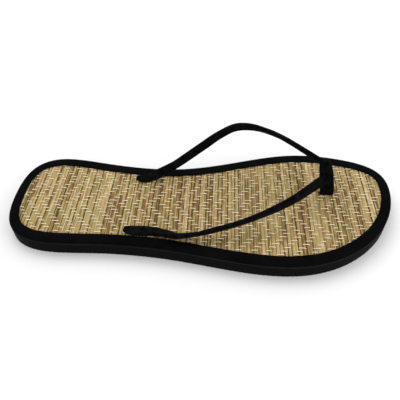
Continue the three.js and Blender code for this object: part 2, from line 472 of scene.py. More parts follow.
@dataclass(frozen=True)
class ClothFinish(Finish):
    """Black cloth: a fine weave along and across the tape, so many threads in a millimetre."""

    name: str = "black_tape"
    specular: float = 0.02
    cloth: Colour = srgb(1, 1, 2)
    worn: Colour = srgb(20, 20, 21)
    worn_from: float = 0.95
    threads: float = 1.0
    weave_share: float = 0.5
    fuzz: Grain = Grain.even(2400.0, 3.0)
    fuzz_share: float = 1.2
    fuzz_relief: float = 0.8
    fuzz_roughness: float = 0.2
    smoothest: float = 0.72
    patch: Grain = Grain.even(60.0)
    patch_share: float = 0.8
    relief: float = 0.16
    sheen: float = 0.01
    sheen_roughness: float = 0.5

    def paint(self, graph: ShaderGraph) -> None:
        """Paint the tape.

        Args:
            graph: the material's tree.
        """
        warp = (graph.attribute("along") * (FULL_TURN * self.threads)).sine()
        weft = (graph.attribute("across") * (FULL_TURN * self.threads)).sine()
        weave = warp * weft * 0.5 + 0.5
        fuzz = graph.noise(self.fuzz)
        patch = graph.noise(self.patch)
        worn = weave * self.weave_share + fuzz * self.fuzz_share + patch * self.patch_share - self.worn_from
        colour = graph.mix(worn.clamp(), self.cloth, self.worn)
        roughness = fuzz * self.fuzz_roughness + self.smoothest
        graph.cover(colour, roughness, weave + fuzz * self.fuzz_relief, self.relief)
        graph.sheen(self.sheen, self.sheen_roughness)


@dataclass(frozen=True)
class NapFinish(Finish):
    """Black napped cloth of the straps: short pile that takes soft light at its edges."""

    name: str = "black_nap"
    specular: float = 0.03
    pile: Colour = srgb(1, 1, 2)
    brushed: Colour = srgb(26, 26, 29)
    brushed_from: float = 1.3
    hair: Grain = Grain.even(3800.0, 3.0)
    hair_share: float = 1.6
    hair_roughness: float = 0.2
    smoothest: float = 0.78
    stroke: Grain = Grain.even(260.0, 3.0)
    stroke_share: float = 1.6
    stroke_relief: float = 0.6
    relief: float = 0.2
    sheen: float = 0.015
    sheen_roughness: float = 0.45

    def paint(self, graph: ShaderGraph) -> None:
        """Paint the nap.

        Args:
            graph: the material's tree.
        """
        hair = graph.noise(self.hair)
        stroke = graph.noise(self.stroke)
        brushed = stroke * self.stroke_share + hair * self.hair_share - self.brushed_from
        colour = graph.mix(brushed.clamp(), self.pile, self.brushed)
        roughness = hair * self.hair_roughness + self.smoothest
        graph.cover(colour, roughness, hair + stroke * self.stroke_relief, self.relief)
        graph.sheen(self.sheen, self.sheen_roughness)


@dataclass(frozen=True)
class FoamFinish(Finish):
    """Dark foam sole: fine closed cells, scuffs, faint cutting lines down the edge, a painted highlight
    along its top edge, and painted light that makes the underside lighter than the sides.
    """

    name: str = "dark_foam"
    specular: float = 0.04
    foam: Colour = srgb(8, 8, 9)
    cell: Colour = srgb(15, 15, 16)
    cells: Grain = Grain.even(1900.0, 3.0)
    cell_share: float = 0.6
    cloud: Grain = Grain.even(26.0, 4.0)
    cloud_share: float = 0.5
    cell_from: float = 0.3
    # colour of the random scuffs, and of the painted highlight along the top edge
    scuff_and_highlight: Colour = srgb(46, 45, 44)
    scuff_from: float = 0.66
    scuff_slope: float = 3.0
    scuff_share: float = 0.4
    # painted highlight: the sole's top edge is painted lighter from this height up, broken by the cloud
    # noise
    highlight_height: float = 9.15
    highlight_slope: float = 4.0
    highlight_share: float = 0.9
    highlight_cloud: float = 1.6
    highlight_from: float = 0.1
    # painted light: where the surface faces the floor it is painted lighter than the sides
    painted_underside_light: Colour = srgb(42, 42, 42)
    underside_light_from: float = 0.45
    underside_light_slope: float = 2.0
    underside_light_least: float = 0.4
    underside_light_mottle: float = 0.5
    cuts: Grain = Grain((520.0, 520.0, 40.0))
    cut_relief: float = 0.5
    relief: float = 0.09
    smoothest: float = 0.55
    cell_roughness: float = 0.25

    def paint(self, graph: ShaderGraph) -> None:
        """Paint the foam.

        Args:
            graph: the material's tree.
        """
        cells = graph.noise(self.cells)
        cloud = graph.noise(self.cloud)
        speckle = cells * self.cell_share + cloud * self.cloud_share - self.cell_from
        colour = graph.mix(speckle.clamp(), self.foam, self.cell)
        # painted highlight along the top edge of the sole
        top_edge = graph.height().above(self.highlight_height, self.highlight_slope)
        painted_highlight = top_edge * (cloud * self.highlight_cloud - self.highlight_from).clamp() * self.highlight_share
        scuffed = cloud.above(self.scuff_from, self.scuff_slope) * cells * self.scuff_share
        edge = graph.mix((scuffed + painted_highlight).clamp(), colour, self.scuff_and_highlight)
        # painted light: the underside is lighter than the sides
        mottle = (cells + cloud) * self.underside_light_mottle + self.underside_light_least
        painted_underside_light = graph.downward().above(self.underside_light_from, self.underside_light_slope) * mottle.clamp()
        roughness = cells * self.cell_roughness + self.smoothest
        relief = cells + graph.noise(self.cuts) * self.cut_relief
        graph.cover(graph.mix(painted_underside_light, edge, self.painted_underside_light), roughness, relief, self.relief)


@dataclass(frozen=True)
class BackingFinish(Finish):
    """Dark underside of the straw, seen only in the gaps between the strips."""

    name: str = "straw_backing"
    specular: float = 0.1
    shade: Colour = srgb(82, 58, 26)
    pale: Colour = srgb(128, 98, 50)
    fibre: Grain = Grain((900.0, 60.0, 200.0), 3.0)
    fibre_roughness: float = 0.2
    smoothest: float = 0.75
    relief: float = 0.1

    def paint(self, graph: ShaderGraph) -> None:
        """Paint the backing.

        Args:
            graph: the material's tree.
        """
        fibre = graph.noise(self.fibre)
        roughness = fibre * self.fibre_roughness + self.smoothest
        graph.cover(graph.mix(fibre, self.shade, self.pale), roughness, fibre, self.relief)


@dataclass(frozen=True)
class FloorFinish(Finish):
    """Plain pale studio floor."""

    name: str = "pale_floor"
    specular: float = 0.1
    paper: Colour = srgb(252, 252, 252)
    roughness: float = 0.9

    def paint(self, graph: ShaderGraph) -> None:
        """Paint the floor one even colour."""
        graph.feed(graph.shader.inputs["Base Color"], self.paper)
        graph.feed(graph.shader.inputs["Roughness"], self.roughness)


# Meshes

def stand(name: str, data: bpy.types.ID) -> bpy.types.Object:
    """Put a new object at the origin of the scene.

    Args:
        name: its name.
        data: its mesh, lens or lamp.

    Returns:
        The new object.
    """
    made = bpy.data.objects.new(name, data)
    bpy.context.scene.collection.objects.link(made)
    return made


def new_piece(name: str, points: np.ndarray, faces: Sequence[Sequence[int]]) -> bpy.types.Object:
    """Make a mesh object at the origin with its faces pointing outwards.

    Args:
        name: name of the piece.
        points: places in millimetres, a row each.
        faces: corners of each face.

    Returns:
        The new object, in the scene.
    """
    mesh = bpy.data.meshes.new(name)
    mesh.from_pydata((np.asarray(points) * MM).tolist(), [], [list(face) for face in faces])
    shell = bmesh.new()
    shell.from_mesh(mesh)
    bmesh.ops.recalc_face_normals(shell, faces=shell.faces)
    shell.to_mesh(mesh)
    shell.free()
    return stand(name, mesh)


def carry(piece: bpy.types.Object, name: str, values: np.ndarray) -> None:
    """Store a number at each point of a piece's mesh under a name."""
    layer = piece.data.attributes.new(name, "FLOAT", "POINT")
    layer.data.foreach_set("value", np.asarray(values, np.float32))


def freeze(piece: bpy.types.Object) -> None:
    """Turn what a piece's modifiers make into its plain mesh, and remove them.

    Args:
        piece: the piece.
    """
    seen = piece.evaluated_get(bpy.context.evaluated_depsgraph_get())
    made = bpy.data.meshes.new_from_object(seen)
    rough = piece.data
    piece.modifiers.clear()
    piece.data = made
    bpy.data.meshes.remove(rough)
    made.name = piece.name


def shade(piece: bpy.types.Object, sharp_deg: float) -> None:
    """Shade a piece smooth, with edges sharper than an angle kept crisp."""
    piece.data.shade_smooth()
    piece.data.set_sharp_from_angle(angle=math.radians(sharp_deg))


def settle(piece: bpy.types.Object, slot: Slot, *nodes: str) -> None:
    """Hang a finished piece on the part.

    Args:
        piece: the finished piece.
        slot: the record's slot of its finish; not used.
        nodes: solids of the frame that it stands for.
    """
    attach(piece, BODY)
    if nodes:
        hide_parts(*nodes)


def loop_faces(rings: int, size: int, closed: bool) -> list[tuple[int, ...]]:
    """Quads between rings of points.

    Args:
        rings: number of rings.
        size: points in a ring.
        closed: whether the last ring meets the first; otherwise both ends are capped.

    Returns:
        The corners of each face.
    """
    faces: list[tuple[int, ...]] = []
    for ring in range(rings if closed else rings - 1):
        here = ring * size
        there = (ring + 1) % rings * size
        for corner in range(size):
            turn = (corner + 1) % size
            faces.append((here + corner, there + corner, there + turn, here + turn))
    if not closed:
        faces.append(tuple(range(size)))
        faces.append(tuple(range((rings - 1) * size, rings * size)))
    return faces


@dataclass
class SoleOutline:
    """The sole's outline, read from the foot of the outsole solid in the frame."""

    node: str = "outsole"
    foot_band: float = 0.01
    decimals: int = 3
    fine: int = 6
    points: np.ndarray = field(init=False)
    outward: np.ndarray = field(init=False)
    along: np.ndarray = field(init=False)

    def __post_init__(self) -> None:
        """Order the solid's lowest points round the sole and draw a smooth curve through them."""
        corners = np.array([vertex.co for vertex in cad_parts[self.node].data.vertices]) / MM
        on_floor = corners[:, 2] < corners[:, 2].min() + self.foot_band
        low = np.unique(corners[on_floor, :2].round(self.decimals), axis=0)
        ring = low[np.argsort(np.arctan2(low[:, 1], low[:, 0]))]
        before, after, beyond = (np.roll(ring, shift, axis=0) for shift in (1, -1, -2))
        share = (np.arange(self.fine) / self.fine)[None, :, None]
        start, end = ring[:, None], after[:, None]
        leave = (after - before)[:, None] / 2
        arrive = (beyond - ring)[:, None] / 2
        bend = 3 * (end - start) - 2 * leave - arrive
        twist = 2 * (start - end) + leave + arrive
        self.points = (start + leave * share + bend * share ** 2 + twist * share ** 3).reshape(-1, 2)
        step = np.roll(self.points, -1, axis=0) - np.roll(self.points, 1, axis=0)
        step /= np.linalg.norm(step, axis=1)[:, None]
        self.outward = np.column_stack([step[:, 1], -step[:, 0]])
        run = np.linalg.norm(np.roll(self.points, -1, axis=0) - self.points, axis=1)
        self.along = np.concatenate([[0.0], np.cumsum(run)[:-1]])

    def inset(self, distance: float | np.ndarray) -> np.ndarray:
        """The outline drawn in by a distance."""
        return self.points - self.outward * np.reshape(distance, (-1, 1))

    def slab(self, name: str, levels: Sequence[tuple[float, float]]) -> bpy.types.Object:
        """A closed plate of the sole's outline.

        Args:
            name: name of the piece.
            levels: inset and height of each ring of the plate, from below.

        Returns:
            The new piece.
        """
        count = len(self.points)
        rings = [np.column_stack([self.inset(inset), np.full(count, height)]) for inset, height in levels]
        return new_piece(name, np.vstack(rings), loop_faces(len(rings), count, False))

    def span(self, x: float, distance: float) -> tuple[float, float] | None:
        """Where a line across the foot meets the drawn-in outline.

        Args:
            x: place of the line along the foot.
            distance: how far the outline is drawn in.

        Returns:
            The lowest and highest y, or None where the line misses the outline.
        """
        ring = self.inset(distance)
        after = np.roll(ring, -1, axis=0)
        hit = (ring[:, 0] - x) * (after[:, 0] - x) < 0
        if not hit.any():
            return None
        share = (x - ring[hit, 0]) / (after[hit, 0] - ring[hit, 0])
        across = ring[hit, 1] + share * (after[hit, 1] - ring[hit, 1])
        return float(across.min()), float(across.max())


# Sub-assemblies

@dataclass
class RibbedOutsole:
    """Flat foam sole with fine round-bottomed grooves across its underside.

    Its soft edge is given as insets from the outline, and distances from the nearer face.
    """

    outline: SoleOutline
    node: str = "outsole"
    name: str = "ribbed_outsole"
    soft_edge: tuple[tuple[float, float], ...] = ((0.45, 0.0), (0.12, 0.12), (0.0, 0.45))
    pitch: float = 3.0
    groove_radius: float = 0.95
    groove_depth: float = 0.6
    groove_sides: int = 12
    overreach: float = 1.2
    sharp_deg: float = 40.0

    def groove_tree(self, material: bpy.types.Material) -> SizedTree:
        """Build the tree that cuts the grooves.

        Args:
            material: finish of the foam.

        Returns:
            The tree.
        """
        long, wide = np.ptp(self.outline.points, axis=0)
        graph = SizedTree("cross_grooves", {
            "Pitch": self.pitch * MM,
            "Count": int(long / self.pitch),
            "Reach": float(wide) * self.overreach * MM,
            "Radius": self.groove_radius * MM,
            "Sink": (self.groove_radius - self.groove_depth) * MM,
        })
        pitch, count = graph.size("Pitch"), graph.size("Count")
        first = graph.vector(X=(count - 1) * pitch * -0.5, Z=graph.size("Sink") * -1)
        line = graph.node("GeometryNodeMeshLine", None,
                          {"Count": count, "Start Location": first, "Offset": graph.vector(X=pitch)})
        bar = graph.node("GeometryNodeMeshCylinder", None,
                         {"Vertices": self.groove_sides, "Radius": graph.size("Radius"),
                          "Depth": graph.size("Reach")})
        laid = graph.node("GeometryNodeInstanceOnPoints", None,
                          {"Points": line, "Instance": bar, "Rotation": (math.pi / 2, 0.0, 0.0)})
        bars = graph.node("GeometryNodeRealizeInstances", None, {0: laid})
        cut = graph.node("GeometryNodeMeshBoolean", {"operation": "DIFFERENCE", "solver": "MANIFOLD"},
                         {"Mesh 1": graph.given, "Mesh 2": bars})
        graph.close(cut, material)
        return graph

    def build(self, finish: FoamFinish) -> bpy.types.Object:
        """Make the sole, cut its grooves and dress it.

        Args:
            finish: looks of the foam.

        Returns:
            The finished sole.
        """
        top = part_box(self.node)[1][2] / MM
        upper_edge = [(inset, top - distance) for inset, distance in reversed(self.soft_edge)]
        piece = self.outline.slab(self.name, [*self.soft_edge, *upper_edge])
        self.groove_tree(finish.make()).lay_on(piece)
        shade(piece, self.sharp_deg)
        settle(piece, Slot.FOAM, self.node)
        return piece


@dataclass
class WeavePlan:
    """Where strips and threads lie: each thread passes over two strips and under two, in a zigzag."""

    outline: SoleOutline
    seed: int = 19
    strip_width: float = 2.33
    width_spread: float = 0.34
    group_spread: float = 0.05
    row_pitch: float = 2.85
    first_turn: float = 20.4
    turn_rows: int = 8
    repeat: int = 4
    over_strips: int = 2

    def strips(self) -> list[tuple[float, float]]:
        """Share the foot's length out among the strips, in groups of nearly one width.

        Returns:
            Left and right side of each strip, heel to toe.
        """
        draw = np.random.default_rng(self.seed)
        start, end = self.outline.points[:, 0].min(), self.outline.points[:, 0].max()
        count = int((end - start) / self.strip_width)
        widths = self.strip_width * (1 + self.width_spread * draw.uniform(-1, 1, count))
        for first in range(0, count - self.repeat + 1, self.repeat):
            group = widths[first:first + self.repeat]
            stretch = draw.uniform(1 - self.group_spread, 1 + self.group_spread)
            group *= self.repeat * self.strip_width / group.sum() * stretch
        sides = start + np.concatenate([[0.0], np.cumsum(widths)])
        return list(zip(sides[:-1], sides[1:]))

    def rows(self) -> list[tuple[int, float]]:
        """Lay the threads across the whole foot, counted from a turn of the zigzag.

        Returns:
            Number and y of each thread.
        """
        low, high = self.outline.points[:, 1].min(), self.outline.points[:, 1].max()
        first = math.ceil((self.first_turn - high) / self.row_pitch)
        last = math.floor((self.first_turn - low) / self.row_pitch)
        return [(row, self.first_turn - row * self.row_pitch) for row in range(first, last + 1)]

    def over(self, strip: int, row: int) -> bool:
        """Whether a thread passes over a strip."""
        shift = abs((row + self.turn_rows) % (2 * self.turn_rows) - self.turn_rows)
        return (strip + shift) % self.repeat < self.over_strips


class Slit(NamedTuple):
    """A slit in the footbed for the tail of a strap: its middle, and its size along and across the foot."""

    x: float
    y: float
    long: float
    wide: float


@dataclass(frozen=True)
class Reed:
    """A straw strip across the foot, or one sliver of a split strip.

    Its sides lie at left and right along the foot, and the painted shade of each side is given from 0 to 1.
    """

    strip: int
    left: float
    right: float
    rim_shades: tuple[float, float]
    tone: float
    whole: bool


@dataclass
class StrawStrips:
    """The straw of the footbed: strips across the foot, some of them split, pinched under the threads, with
    painted shade at their sides and beside the threads.
    """

    plan: WeavePlan
    node: str = "straw_insole"
    name: str = "straw_strips"
    sharp_deg: float = 65.0
    # Ends, at the binding and at the slits
    tuck: float = 3.2
    shortest_span: float = 2.0
    shortest_part: float = 1.0
    slit_bite: float = 0.6
    slits: tuple[Slit, ...] = (
        Slit(-44.2, -27.1, 3.3, 4.8), Slit(-42.8, 21.3, 3.3, 4.8), Slit(88.0, 12.2, 10.0, 3.6),
    )
    # Gaps between the strips
    gap_seed: int = 22
    tight_gap: float = 0.06
    # painted shade at a strip's sides: full beside an open gap, less where strips touch
    tight_shade: float = 0.55
    open_gap: tuple[float, float] = (0.3, 1.0)
    open_share: float = 0.27
    # Split strips, and the tone of each sliver
    reed_seed: int = 20
    split_share: float = 0.24
    split_place: tuple[float, float] = (0.34, 0.66)
    split_gap: float = 0.16
    # painted shade at the parting of a split strip
    split_shade: float = 0.7
    split_tone: float = 0.26
    tone_range: tuple[float, float] = (0.11, 0.98)
    tone_run: float = 5.0
    tone_drift: float = 0.17
    brown_at: float = 15.0
    brown_reach: float = 75.0
    browner: float = 0.09
    # Section of a strip
    form_seed: int = 23
    foot: float = 10.45
    crest: float = 11.04
    crown: float = 0.28
    shoulder: float = 0.7
    shoulder_drop: float = 0.05
    # painted shade on the shoulders of a whole strip's crown
    shoulder_shade: float = 0.2
    lean: float = 0.14
    lift: float = 0.07
    swell: float = 0.03
    swell_length: float = 7.0
    sway: float = 0.05
    sway_length: float = 11.0
    # Run of a strip under and over the threads
    steps: tuple[float, ...] = (-0.95, -0.32, 0.32, 0.95)
    pinch: float = 0.16
    pinch_reach: float = 0.55
    puff: float = 0.6
    # painted shadow on a strip round each thread that passes over it: its darkness and reach
    thread_shadow: float = 0.84
    thread_shadow_reach: float = 0.75

    def gaps(self, count: int) -> np.ndarray:
        """Draw the gaps: most strips touch, and some leave an open line.

        Args:
            count: how many gaps.

        Returns:
            Width of each gap.
        """
        draw = np.random.default_rng(self.gap_seed)
        wide = draw.uniform(*self.open_gap, count)
        return np.where(draw.uniform(0, 1, count) < self.open_share, wide, self.tight_gap)

    def reeds(self) -> list[Reed]:
        """Cut the strips to their gaps, and split some into two slivers of unlike tones.

        Returns:
            The reeds from heel to toe.
        """
        draw = np.random.default_rng(self.reed_seed)
        sides = self.plan.strips()
        gaps = self.gaps(len(sides) + 1)
        made = []
        for strip, (left, right) in enumerate(sides):
            start, end = left + gaps[strip] / 2, right - gaps[strip + 1] / 2
            # painted shade at each side of the strip, deeper beside an open gap
            rim_shades = [1.0 if gap > self.tight_gap else self.tight_shade for gap in gaps[strip:strip + 2]]
            brown = self.browner * math.exp(-(((left + right) / 2 - self.brown_at) / self.brown_reach) ** 2)
            tone = draw.uniform(*self.tone_range) - brown
            split = start + (end - start) * draw.uniform(*self.split_place)
            parting = draw.choice((-1, 1)) * self.split_tone
            if draw.uniform() > self.split_share:
                made.append(Reed(strip, start, end, (rim_shades[0], rim_shades[1]), tone, whole=True))
                continue
            near, far = split - self.split_gap / 2, split + self.split_gap / 2
            made.append(Reed(strip, start, near, (rim_shades[0], self.split_shade), tone + parting, whole=False))
            made.append(Reed(strip, far, end, (self.split_shade, rim_shades[1]), tone - parting, whole=False))
        return made

    def stretches(self, reed: Reed) -> list[tuple[float, float]]:
        """Tuck a reed under the binding, and break it at the slits.

        Args:
            reed: the reed.

        Returns:
            Start and end across the foot of each part that is left.
        """
        left, right = reed.left, reed.right
        span = self.plan.outline.span((left + right) / 2, self.tuck)
        if span is None or span[1] - span[0] < self.shortest_span:
            return []
        parts = [span]
        for slit in self.slits:
            inside = min(right, slit.x + slit.long / 2) - max(left, slit.x - slit.long / 2)
            if inside < self.slit_bite * (right - left):
                continue
            low, high = slit.y - slit.wide / 2, slit.y + slit.wide / 2
            parts = [(start, end) for old_start, old_end in parts
                     for start, end in ((old_start, min(old_end, low)), (max(old_start, high), old_end))
                     if end - start > self.shortest_part]
        return parts

    def profile(self, strip: int, start: float, end: float) -> tuple[np.ndarray, np.ndarray, np.ndarray]:
        """Run a reed across the foot, under and over the threads.

        Args:
            strip: number of its strip.
            start: where the reed starts across the foot.
            end: where it ends.

        Returns:
            Places across the foot, and at each of them the rise of its crest and the painted shadow of the
            threads.
        """
        threads = self.plan.rows()
        steps = [middle + shift for _, middle in threads for shift in self.steps]
        across = np.unique(np.clip(np.array([start, end, *steps]), start, end))
        rise = np.zeros(len(across))
        shadow = np.zeros(len(across))
        for row, middle in threads:
            held = self.plan.over(strip, row)
            push = -self.pinch if held else self.pinch * self.puff
            rise += push * np.exp(-((across - middle) / self.pinch_reach) ** 2)
            # painted shadow round a thread that passes over the strip
            shadow += held * self.thread_shadow * np.exp(-((across - middle) / self.thread_shadow_reach) ** 2)
        return across, rise, shadow

    def section(self, reed: Reed, lean: float) -> list[tuple[float, float | None, float]]:
        """Set the points round a reed.

        Args:
            reed: the reed.
            lean: how far its crest lies to one side.

        Returns:
            Place from -1 to 1, drop from the crest, or None on the backing, and painted shade of each point.
        """
        left, right = reed.rim_shades
        crown = [(lean, 0.0, 0.0)]
        if reed.whole:
            shoulder = (-self.shoulder_drop, self.shoulder_shade)
            crown = [(lean + self.shoulder, *shoulder), *crown, (lean - self.shoulder, *shoulder)]
        return [(-1.0, None, left), (1.0, None, right), (1.0, -self.crown, right), *crown,
                (-1.0, -self.crown, left)]

    def build(self, finish: StrawFinish) -> bpy.types.Object:
        """Make the strips and dress them.

        Args:
            finish: looks of the straw.

        Returns:
            The finished strips.
        """
        draw = np.random.default_rng(self.form_seed)
        places, faces, tones, painted_shades = [], [], [], []
        offset = 0
        for reed in self.reeds():
            section = self.section(reed, draw.uniform(-self.lean, self.lean))
            rim_shades = np.array([rim for _, _, rim in section])
            crest = self.crest + draw.uniform(-self.lift, self.lift)
            wave = draw.uniform(0, FULL_TURN)
            for start, end in self.stretches(reed):
                across, rise, shadow = self.profile(reed.strip, start, end)
                half = (reed.right - reed.left) / 2
                half = half * (1 + self.swell * np.sin(across / self.swell_length + wave))
                centre = (reed.left + reed.right) / 2
                centre = centre + self.sway * np.sin(across / self.sway_length + 2 * wave)
                foot = np.full(len(across), self.foot)
                top = crest + rise
                ring = np.stack([
                    np.column_stack([centre + half * side, across, foot if drop is None else top + drop])
                    for side, drop, _ in section
                ], axis=1)
                places.append(ring.reshape(-1, 3))
                faces += [tuple(corner + offset for corner in face)
                          for face in loop_faces(len(across), len(section), False)]
                offset += len(across) * len(section)
                knots = np.arange(start, end + self.tone_run, self.tone_run)
                drift = np.interp(across, knots, draw.normal(0, self.tone_drift, len(knots)))
                tones.append(np.repeat(reed.tone + drift, len(section)))
                # painted shade of the sides, or painted shadow of the threads where that is darker
                painted_shades.append(np.maximum(rim_shades[None, :], shadow[:, None]).reshape(-1))
        piece = new_piece(self.name, np.vstack(places), faces)
        carry(piece, "tone", np.concatenate(tones))
        # the edge number is painted shade and shadow for the straw's finish
        carry(piece, "edge", np.concatenate(painted_shades))
        shade(piece, self.sharp_deg)
        piece.data.materials.append(finish.make())
        settle(piece, Slot.STRAW, self.node)
        return piece


@dataclass
class CottonThreads:
    """The cream threads of the footbed, each stretch arched over the strips that it holds down."""

    plan: WeavePlan
    name: str = "cotton_threads"
    seed: int = 21
    width: float = 0.66
    height: float = 0.36
    top: float = 11.32
    dive: float = 1.1
    steps: int = 9
    sides: int = 7
    tuck: float = 5.2
    stray_along: float = 0.1
    stray_across: float = 0.07
    stray_height: tuple[float, float] = (-0.04, 0.02)
    stray_turn: float = 0.03
    length_share: tuple[float, float] = (0.92, 1.04)

    def floats(self) -> np.ndarray:
        """Find each stretch of thread that shows.

        Returns:
            Its middle along and across the foot, and its length, a row each.
        """
        strips = self.plan.strips()
        found = []
        for row, y in self.plan.rows():
            for strip in range(len(strips) - 1):
                if not (self.plan.over(strip, row) and self.plan.over(strip + 1, row)):
                    continue
                left, right = strips[strip][0], strips[strip + 1][1]
                middle = (left + right) / 2
                span = self.plan.outline.span(middle, self.tuck)
                if span is not None and span[0] < y < span[1]:
                    found.append((middle, y, right - left))
        return np.array(found)

    def thread_tree(self, material: bpy.types.Material) -> SizedTree:
        """Build the tree that lays a short arched thread at every point.

        Args:
            material: finish of the cotton.

        Returns:
            The tree.
        """
        graph = SizedTree("cotton_floats", {
            "Width": self.width * MM,
            "Flatness": self.height / self.width,
            "Dive": self.dive * MM,
            "Steps": self.steps,
            "Sides": self.sides,
        })
        line = graph.node("GeometryNodeCurvePrimitiveLine", None,
                          {"Start": (-0.5, 0.0, 0.0), "End": (0.5, 0.0, 0.0)})
        spine = graph.node("GeometryNodeResampleCurve", None, {"Curve": line, "Count": graph.size("Steps")})
        share = graph.out(graph.node("GeometryNodeSplineParameter"), "Factor")
        from_middle = share * 2 - 1
        square = from_middle * from_middle
        drop = graph.vector(Z=square * square * square * graph.size("Dive") * -1)
        arched = graph.node("GeometryNodeSetPosition", None, {"Geometry": spine, "Offset": drop})
        ring = graph.node("GeometryNodeCurvePrimitiveCircle", None,
                          {"Resolution": graph.size("Sides"), "Radius": graph.size("Width") * 0.5})
        tube = graph.node("GeometryNodeCurveToMesh", None,
                          {"Curve": graph.mark(arched, "along", share),
                           "Profile Curve": graph.mark(ring, "around", share), "Fill Caps": True})
        flatten = graph.vector(X=1.0, Y=1.0, Z=graph.size("Flatness"))
        flat = graph.node("GeometryNodeTransform", None, {"Geometry": tube, "Scale": flatten})
        smooth = graph.node("GeometryNodeSetShadeSmooth", None, {0: flat})
        laid = graph.node("GeometryNodeInstanceOnPoints", None,
                          {"Points": graph.given, "Instance": smooth,
                           "Rotation": graph.vector(Z=graph.carried("turn")),
                           "Scale": graph.vector(X=graph.carried("length"), Y=1.0, Z=1.0)})
        graph.close(laid, material)
        return graph

    def build(self, finish: CottonFinish) -> bpy.types.Object:
        """Lay the threads where they pass over the strips, and dress them.

        Args:
            finish: looks of the cotton.

        Returns:
            The finished threads.
        """
        draw = np.random.default_rng(self.seed)
        table = self.floats()
        count = len(table)
        piece = new_piece(self.name, np.column_stack([
            table[:, 0] + draw.normal(0, self.stray_along, count),
            table[:, 1] + draw.normal(0, self.stray_across, count),
            self.top - self.height / 2 + draw.uniform(*self.stray_height, count),
        ]), [])
        carry(piece, "length", table[:, 2] * draw.uniform(*self.length_share, count) * MM)
        carry(piece, "turn", draw.normal(0, self.stray_turn, count))
        self.thread_tree(finish.make()).lay_on(piece)
        settle(piece, Slot.STRAW)
        return piece


@dataclass
class StrawBacking:
    """The thin dark layer under the strips."""

    outline: SoleOutline
    node: str = "straw_insole"
    name: str = "straw_backing"
    inset: float = 1.3
    top: float = 10.43
    sharp_deg: float = 40.0

    def build(self, finish: BackingFinish) -> bpy.types.Object:
        """Make the layer and dress it.

        Args:
            finish: looks of the backing.

        Returns:
            The finished layer.
        """
        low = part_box(self.node)[0][2] / MM
        piece = self.outline.slab(self.name, [(self.inset, low), (self.inset, self.top)])
        shade(piece, self.sharp_deg)
        piece.data.materials.append(finish.make())
        settle(piece, Slot.STRAW)
        return piece


class Level(Enum):
    """Heights that the points round the binding are measured from."""

    FOOT = "foot"
    LIP = "lip"
    TOP = "top"


class FoldPoint(NamedTuple):
    """A point round the binding: its inset from the sole's edge is a share of the width and a distance."""

    share: float
    distance: float
    level: Level
    rise: float


@dataclass
class RimBinding:
    """Cloth tape folded over the footbed's edge, slightly gathered round the heel and the toes."""

    outline: SoleOutline
    node: str = "rim_binding"
    name: str = "rim_tape"
    seed: int = 3
    side_width: float = 7.65
    end_width: float = 6.7
    foot: float = 9.74
    lip: float = 11.42
    top: float = 12.04
    fold: tuple[FoldPoint, ...] = (
        FoldPoint(0.0, 0.9, Level.FOOT, 0.0),
        FoldPoint(0.0, 0.9, Level.LIP, 0.0),
        FoldPoint(1.0, -0.25, Level.LIP, 0.0),
        FoldPoint(1.0, 0.0, Level.LIP, 0.16),
        FoldPoint(1.0, -0.02, Level.TOP, -0.34),
        FoldPoint(1.0, -0.3, Level.TOP, -0.14),
        FoldPoint(1.0, -0.9, Level.TOP, -0.04),
        FoldPoint(0.62, 0.0, Level.TOP, 0.0),
        FoldPoint(0.36, 0.0, Level.TOP, -0.02),
        FoldPoint(0.0, 1.3, Level.TOP, -0.08),
        FoldPoint(0.0, 0.6, Level.TOP, -0.22),
        FoldPoint(0.0, 0.18, Level.TOP, -0.52),
        FoldPoint(0.0, 0.02, Level.TOP, -0.95),
        FoldPoint(0.0, 0.0, Level.TOP, -1.5),
        FoldPoint(0.0, 0.12, Level.FOOT, 0.35),
        FoldPoint(0.0, 0.34, Level.FOOT, 0.0),
    )
    wander: float = 0.05
    wander_lengths: tuple[float, ...] = (9.0, 17.0, 41.0)
    gather: float = 0.09
    gather_pitch: float = 3.4
    gather_swing: float = 1.3
    swing_length: float = 8.0
    gather_depth: float = 0.3
    sharp_deg: float = 60.0

    def section(self, width: np.ndarray) -> list[tuple[np.ndarray, np.ndarray]]:
        """Inset and height of each point round the tape, for its width at every place along it."""
        heights = {Level.FOOT: self.foot, Level.LIP: self.lip, Level.TOP: self.top}
        return [(width * point.share + point.distance,
                 np.full_like(width, heights[point.level] + point.rise)) for point in self.fold]

    def build(self, finish: ClothFinish) -> bpy.types.Object:
        """Make the tape and dress it.

        Args:
            finish: looks of the cloth.

        Returns:
            The finished tape.
        """
        draw = np.random.default_rng(self.seed)
        run = self.outline.along
        at_ends = self.outline.outward[:, 0] ** 2
        width = self.side_width + (self.end_width - self.side_width) * at_ends
        for length in self.wander_lengths:
            width += self.wander * np.sin(FULL_TURN * run / length + draw.uniform(0, FULL_TURN))
        swing = self.gather_swing * np.sin(run / self.swing_length)
        pucker = self.gather * at_ends * np.sin(FULL_TURN * run / self.gather_pitch + swing)
        rows = self.section(width)
        rings, across = [], []
        so_far = np.zeros(len(run))
        last_inset, last_height = rows[0]
        for inset, height in rows:
            near_top = np.clip(1 + (height - self.top) / self.gather_depth, 0, 1)
            gathered = height + pucker * near_top * np.clip(inset / width, 0, 1)
            rings.append(np.column_stack([self.outline.inset(inset), gathered]))
            so_far = so_far + np.hypot(inset - last_inset, height - last_height)
            across.append(so_far)
            last_inset, last_height = inset, height
        points = np.stack(rings, axis=1).reshape(-1, 3)
        piece = new_piece(self.name, points, loop_faces(len(run), len(rows), True))
        carry(piece, "along", np.repeat(run, len(rows)))
        carry(piece, "across", np.stack(across, axis=1).reshape(-1))
        shade(piece, self.sharp_deg)
        piece.data.materials.append(finish.make())
        settle(piece, Slot.BINDING, self.node)
        return piece


